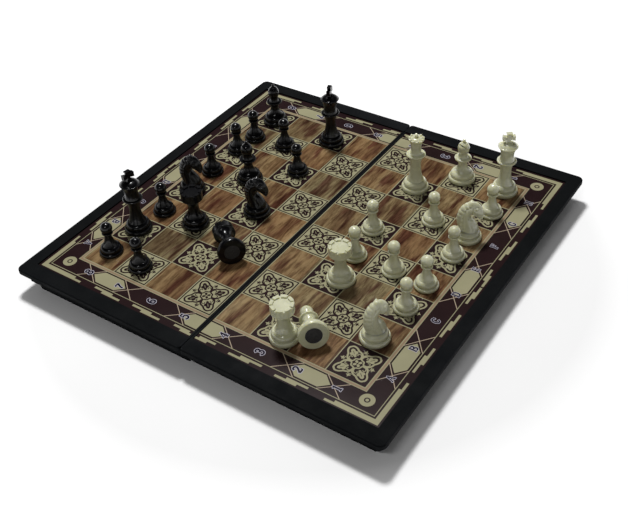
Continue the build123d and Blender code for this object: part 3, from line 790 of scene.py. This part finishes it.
# Raised and sunk details of its sides: the line they follow, their half width and their height
DETAILS = [
    ([(5.5, 29.2)], 0.85, 0.7), ([(4.2, 30.3), (5.4, 30.9), (6.8, 30.1)], 0.45, -0.4),
    ([(4.6, 28.3), (5.6, 28.0), (6.4, 28.5)], 0.35, -0.35), ([(9.8, 22.8)], 0.55, -0.6),
    ([(10.9, 20.2), (9.5, 20.1), (8.3, 20.8)], 0.4, -0.5), ([(5.4, 25.0)], 2.3, 0.6),
    ([(8.9, 26.4), (9.6, 24.4)], 0.7, -0.25), ([(2.4, 29.4), (1.8, 26.4), (2.6, 23.6)], 0.6, -0.5),
    ([(0.6, 19.6), (1.4, 15.4), (3.2, 11.0)], 0.9, -0.45),
    ([(1.6, 30.8), (-1.6, 29.4), (-4.0, 25.5), (-4.9, 20.5), (-4.8, 15.5), (-4.0, 11.5)], 0.55, -0.4),
]
LOCKS = [
    ((0.4, 30.6), (-1.4, 33.6)), ((-1.8, 29.2), (-4.6, 31.2)), ((-3.4, 26.8), (-6.8, 27.6)),
    ((-4.3, 24.0), (-7.9, 23.8)), ((-4.8, 20.8), (-8.4, 19.6)), ((-4.9, 17.4), (-8.2, 15.6)),
    ((-4.6, 14.2), (-7.6, 12.2)),
]
LOCK = (0.5, -0.45)  # the half width and height of the lines between the mane's locks
# One ear's place and rise, both as forward, up and aside, and its half width. The other one mirrors it.
EAR = ((1.6, 33.2, 1.5), (0.5, 1.1, 0.3), 1.1)
AROUND = 96
ALONG = 8  # slices made between two of the given ones
CREST_TAPER = 0.34
FRONT_TAPER = 0.12
FULLNESS = 0.85  # below 1, a slice is fuller than an ellipse
SOFT_ABOVE = 9.5
CARVED_ABOVE = 9.2
FOOT_EDGE = 10.2
FOOT_SWELL = 0.8
FLANGE = 4.2
GROOVE = (9.3, 4.5)  # radius and height, as are those of the bead's top
BEAD_TOP = (7.4, 8.9)
POCKET = (6.0, 2.0)  # the magnet's pocket: radius and depth
MAGNET_LOW = 0.2
MAGNET_GAP = 0.02
TURNS = 96
SHARP = 38  # degrees; a flatter edge is shaded smooth
SOLE = 0.05  # the foot's lowest points are this close to the print


def off_line(x, z, line):
    """How far a point is from a line of points."""
    if len(line) == 1:
        return math.hypot(x - line[0][0], z - line[0][1])
    best = 1e9
    for (x0, z0), (x1, z1) in zip(line, line[1:]):
        along = ((x - x0) * (x1 - x0) + (z - z0) * (z1 - z0)) / ((x1 - x0) ** 2 + (z1 - z0) ** 2)
        along = min(max(along, 0.0), 1.0)
        best = min(best, math.hypot(x - x0 - along * (x1 - x0), z - z0 - along * (z1 - z0)))
    return best


def arc(start, end, rise, steps=10):
    """Points of a shallow arc that swells to its right."""
    (r0, z0), (r1, z1) = start, end
    length = math.hypot(r1 - r0, z1 - z0)
    out = ((z1 - z0) / length, (r0 - r1) / length)
    found = []
    for k in range(steps + 1):
        t = k / steps
        bulge = 4 * rise * t * (1 - t)
        found.append((r0 + t * (r1 - r0) + out[0] * bulge, z0 + t * (z1 - z0) + out[1] * bulge))
    return found


def lathe(mesh, profile, shade):
    """A turned form, from an outline that starts and ends on the middle line."""
    rings = []
    for radius, height in profile:
        if radius == 0:
            rings.append([mesh.verts.new((0, 0, height))])
            continue
        angles = [2 * math.pi * k / TURNS for k in range(TURNS)]
        rings.append([mesh.verts.new((radius * math.cos(a), radius * math.sin(a), height)) for a in angles])
    for low, high in zip(rings, rings[1:]):
        for k in range(TURNS):
            after = k + 1
            ring = [low[k % len(low)], low[after % len(low)], high[after % len(high)], high[k % len(high)]]
            mesh.faces.new(list(dict.fromkeys(ring))).material_index = shade


def horse():
    """The neck and head, as one closed skin round the slices, with its details pushed in and out."""
    mesh = bmesh.new()
    rows = []
    for back_x, back_z, front_x, front_z, wide in smooth(SLICES, ALONG):
        row = []
        for k in range(AROUND):
            turned = 2 * math.pi * k / AROUND
            t = math.cos(turned)
            taper = 1 - CREST_TAPER * max(t, 0) ** 2 - FRONT_TAPER * max(-t, 0) ** 2
            side = math.copysign(abs(math.sin(turned)) ** FULLNESS, math.sin(turned)) * wide * taper
            share = (1 + t) / 2
            point = (front_x + share * (back_x - front_x), side, front_z + share * (back_z - front_z))
            row.append(mesh.verts.new(point))
        rows.append(row)
    for low, high in zip(rows, rows[1:]):
        for k in range(AROUND):
            mesh.faces.new((low[k], low[(k + 1) % AROUND], high[(k + 1) % AROUND], high[k]))
    mesh.faces.new(rows[0][::-1])
    mesh.faces.new(rows[-1])
    bmesh.ops.recalc_face_normals(mesh, faces=mesh.faces)
    for _ in range(2):
        upper = [v for v in mesh.verts if v.co.z > SOFT_ABOVE]
        bmesh.ops.smooth_vert(
            mesh, verts=upper, factor=0.5, use_axis_x=True, use_axis_y=True, use_axis_z=True,
        )
    mesh.normal_update()
    details = DETAILS + [([start, end], *LOCK) for start, end in LOCKS]
    (ear_x, ear_z, ear_y), rise, ear_wide = EAR
    moves = []
    for vert in mesh.verts:
        x, y, z = vert.co
        push = 0.0
        for line, wide, height in details:
            push += height * math.exp(-(off_line(x, z, line) / wide) ** 2)
        move = vert.normal * push if z > CARVED_ABOVE else Vector()
        off = (x - ear_x) ** 2 + (z - ear_z) ** 2 + (abs(y) - ear_y) ** 2
        near = math.exp(-off / ear_wide**2)
        moves.append(move + Vector((rise[0], math.copysign(rise[2], y), rise[1])) * near)
    for vert, move in zip(mesh.verts, moves):
        vert.co += move
    return mesh


def knights():
    """Each knight on its foot, with the magnet in it, in the place of its node."""
    mesh = horse()
    magnet_top = POCKET[1]
    foot = [(0, magnet_top), (POCKET[0], magnet_top), (POCKET[0], 0), (FOOT_EDGE, 0)]
    foot += arc((FOOT_EDGE, 0), (FOOT_EDGE, FLANGE), FOOT_SWELL)[1:]
    foot += [(GROOVE[0], FLANGE)] + arc(GROOVE, BEAD_TOP, FOOT_SWELL) + [(0, BEAD_TOP[1])]
    lathe(mesh, foot, 0)
    edge, top = POCKET[0] - MAGNET_GAP, magnet_top - MAGNET_GAP
    lathe(mesh, [(0, MAGNET_LOW), (edge, MAGNET_LOW), (edge, top), (0, top)], 1)
    for face in mesh.faces:
        face.smooth = True
    for name, (heading, plastic, slot) in KNIGHTS.items():
        node = frame["nodes"][name]
        sole = [v.co for v in node.data.vertices if v.co.z < (PRINT_TOP + SOLE) * MM]
        middle = [(min(p[axis] for p in sole) + max(p[axis] for p in sole)) / 2 for axis in (0, 1)]
        spot = Matrix.Translation((middle[0], middle[1], PRINT_TOP * MM))
        spot = spot @ Matrix.Rotation(math.radians(heading), 4, "Z") @ Matrix.Scale(MM, 4)
        data = bpy.data.meshes.new(name + "_carved")
        mesh.to_mesh(data)
        data.transform(spot)
        data.set_sharp_from_angle(angle=math.radians(SHARP))
        data.materials.append(plastic)
        data.materials.append(MAGNET)
        piece = bpy.data.objects.new(name + "_carved", data)
        bpy.context.scene.collection.objects.link(piece)
        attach(piece, name)
        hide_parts(name)
    mesh.free()


knights()


# Materials of the CAD nodes, by how a slot's name starts
KINDS = {"case": CASE, "ivory": IVORY, "black": BLACK, "magnet": MAGNET, "pin": PIN}
for node in frame["nodes"].values():
    for slot in node.material_slots:
        kind = slot.material.name if slot.material else ""
        for start, material in KINDS.items():
            if kind.startswith(start):
                slot.material = material


# The floor, the light and the camera, in metres
FLOOR = 4
GLOW = (0.0, 0.9)  # of the floor, near the board and away from it
GLOW_RANGE = (0.22, 0.4)  # where it grows, from the middle of the board
AMBIENT = 0.16  # the even light, and how bright reflections show the backdrop and the room
BACKDROP = 1.0
ROOM = 0.02
SKYLINE = (0.12, 0.42)  # the backdrop goes over into the room between these, upwards from level
LAMPS = {  # place, aim, size and watts
    "key": ((-0.36, 0.36, 1.3), (0, 0, 0), (0.22, 0.22), 18.0),
    "front": ((0.2, -0.8, 0.9), (0, 0, 0), (0.3, 0.05), 1.6),
}


def stage():
    """White paper. Away from the board it glows to white, where the lamps no longer reach."""
    made, shade = shader("floor_paper", Roughness=0.9, Specular_IOR_Level=0.1)
    paper = shades(made, noise(made, 3.0), colour(246, 246, 246), colour(251, 251, 251))
    link(made, paper, shade, "Base Color")
    bump(made, shade, noise(made, 600.0), depth=0.0001, strength=0.2)
    path = add(made, "LightPath").outputs
    seen = add(made, "Math", {0: path["Is Camera Ray"], 1: path["Is Glossy Ray"]}, operation="MAXIMUM")
    glow = add(made, "Emission", {"Color": (1, 1, 1, 1)})
    far = add(made, "VectorMath", {0: place(made)}, operation="LENGTH").outputs["Value"]
    share = level(made, far, *GLOW, *GLOW_RANGE)
    strength = add(made, "Math", {0: seen.outputs[0], 1: share}, operation="MULTIPLY").outputs[0]
    made.node_tree.links.new(strength, glow.inputs["Strength"])
    both = add(made, "AddShader", {0: shade.outputs[0], 1: glow.outputs[0]})
    out = made.node_tree.nodes["Material Output"]
    made.node_tree.links.new(both.outputs[0], out.inputs["Surface"])
    data = bpy.data.meshes.new("floor")
    corners = [(-FLOOR, -FLOOR, 0), (FLOOR, -FLOOR, 0), (FLOOR, FLOOR, 0), (-FLOOR, FLOOR, 0)]
    data.from_pydata(corners, [], [(0, 1, 2, 3)])
    data.materials.append(made)
    floor = bpy.data.objects.new("floor", data)
    bpy.context.scene.collection.objects.link(floor)


def lamp(name, spot, aim, size, power):
    """A rectangular lamp that points at its aim."""
    data = bpy.data.lights.new(name, "AREA")
    data.shape = "RECTANGLE"
    data.size, data.size_y = size
    data.energy = power
    lit = bpy.data.objects.new(name, data)
    bpy.context.scene.collection.objects.link(lit)
    lit.location = spot
    lit.rotation_euler = (Vector(aim) - Vector(spot)).to_track_quat("-Z", "Y").to_euler()


def world():
    """Even light. Reflections show the pale backdrop low down and a dim room overhead."""
    made = bpy.data.worlds.new("studio")
    bpy.context.scene.world = made
    made.use_nodes = True
    back = made.node_tree.nodes["Background"]
    back.inputs["Color"].default_value = (1, 1, 1, 1)
    way = add(made, "SeparateXYZ", {"Vector": add(made, "TexCoord").outputs["Generated"]}).outputs["Z"]
    room = level(made, way, BACKDROP, ROOM, *SKYLINE)
    path = add(made, "LightPath").outputs
    seen = add(
        made, "Math", {0: path["Is Camera Ray"], 1: path["Is Transmission Ray"]}, operation="MAXIMUM",
    )
    mirrored = add(made, "Math", {0: path["Is Glossy Ray"], 1: room}, operation="MULTIPLY").outputs[0]
    diffuse = level(made, path["Is Diffuse Ray"], 0.0, AMBIENT)
    parts = add(made, "Math", {0: mirrored, 1: diffuse}, operation="ADD").outputs[0]
    strength = add(made, "Math", {0: seen.outputs[0], 1: parts}, operation="MAXIMUM").outputs[0]
    made.node_tree.links.new(strength, back.inputs["Strength"])


stage()
world()
for name, values in LAMPS.items():
    lamp(name, *values)

view = bpy.data.cameras.new("camera")
view.lens = CAMERA_LENS
view.sensor_width = SENSOR
view.clip_start = 0.01
camera = bpy.data.objects.new("camera", view)
bpy.context.scene.collection.objects.link(camera)
camera.location = CAMERA_PLACE
camera.rotation_euler = [math.radians(turn) for turn in CAMERA_TURN]
bpy.context.scene.camera = camera
bpy.context.scene.view_settings.view_transform = "Standard"
